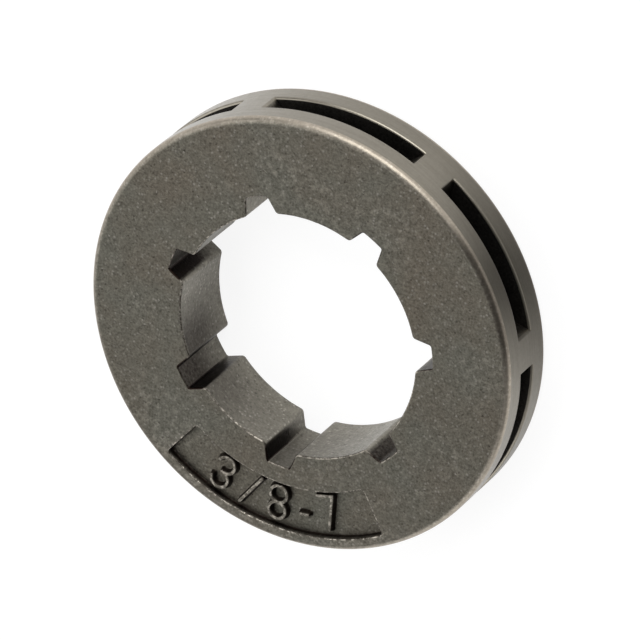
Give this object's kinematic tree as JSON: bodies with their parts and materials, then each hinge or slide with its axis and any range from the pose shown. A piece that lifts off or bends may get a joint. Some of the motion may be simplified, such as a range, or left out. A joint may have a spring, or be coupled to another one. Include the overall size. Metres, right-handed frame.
{
  "type": "chainsaw rim sprocket",
  "caption": "Flat steel ring with a splined bore, drive link pockets round the rim and a recessed panel with a raised size mark.",
  "frame": {"origin": "centre of the flat back face, on the ring's axis", "axes": "+Z along the ring's axis, from the back face to the marked face; -Y points through the middle of the raised mark, a spline notch and a web of the rim"},
  "size_m": [0.035, 0.035, 0.0062],
  "materials": {
    "sintered_steel": "fine-grained grey faces, satin turned rim and bore lands"
  },
  "bodies": {
    "root": {"rim_sprocket": "sintered_steel"}
  },
  "joints": []
}
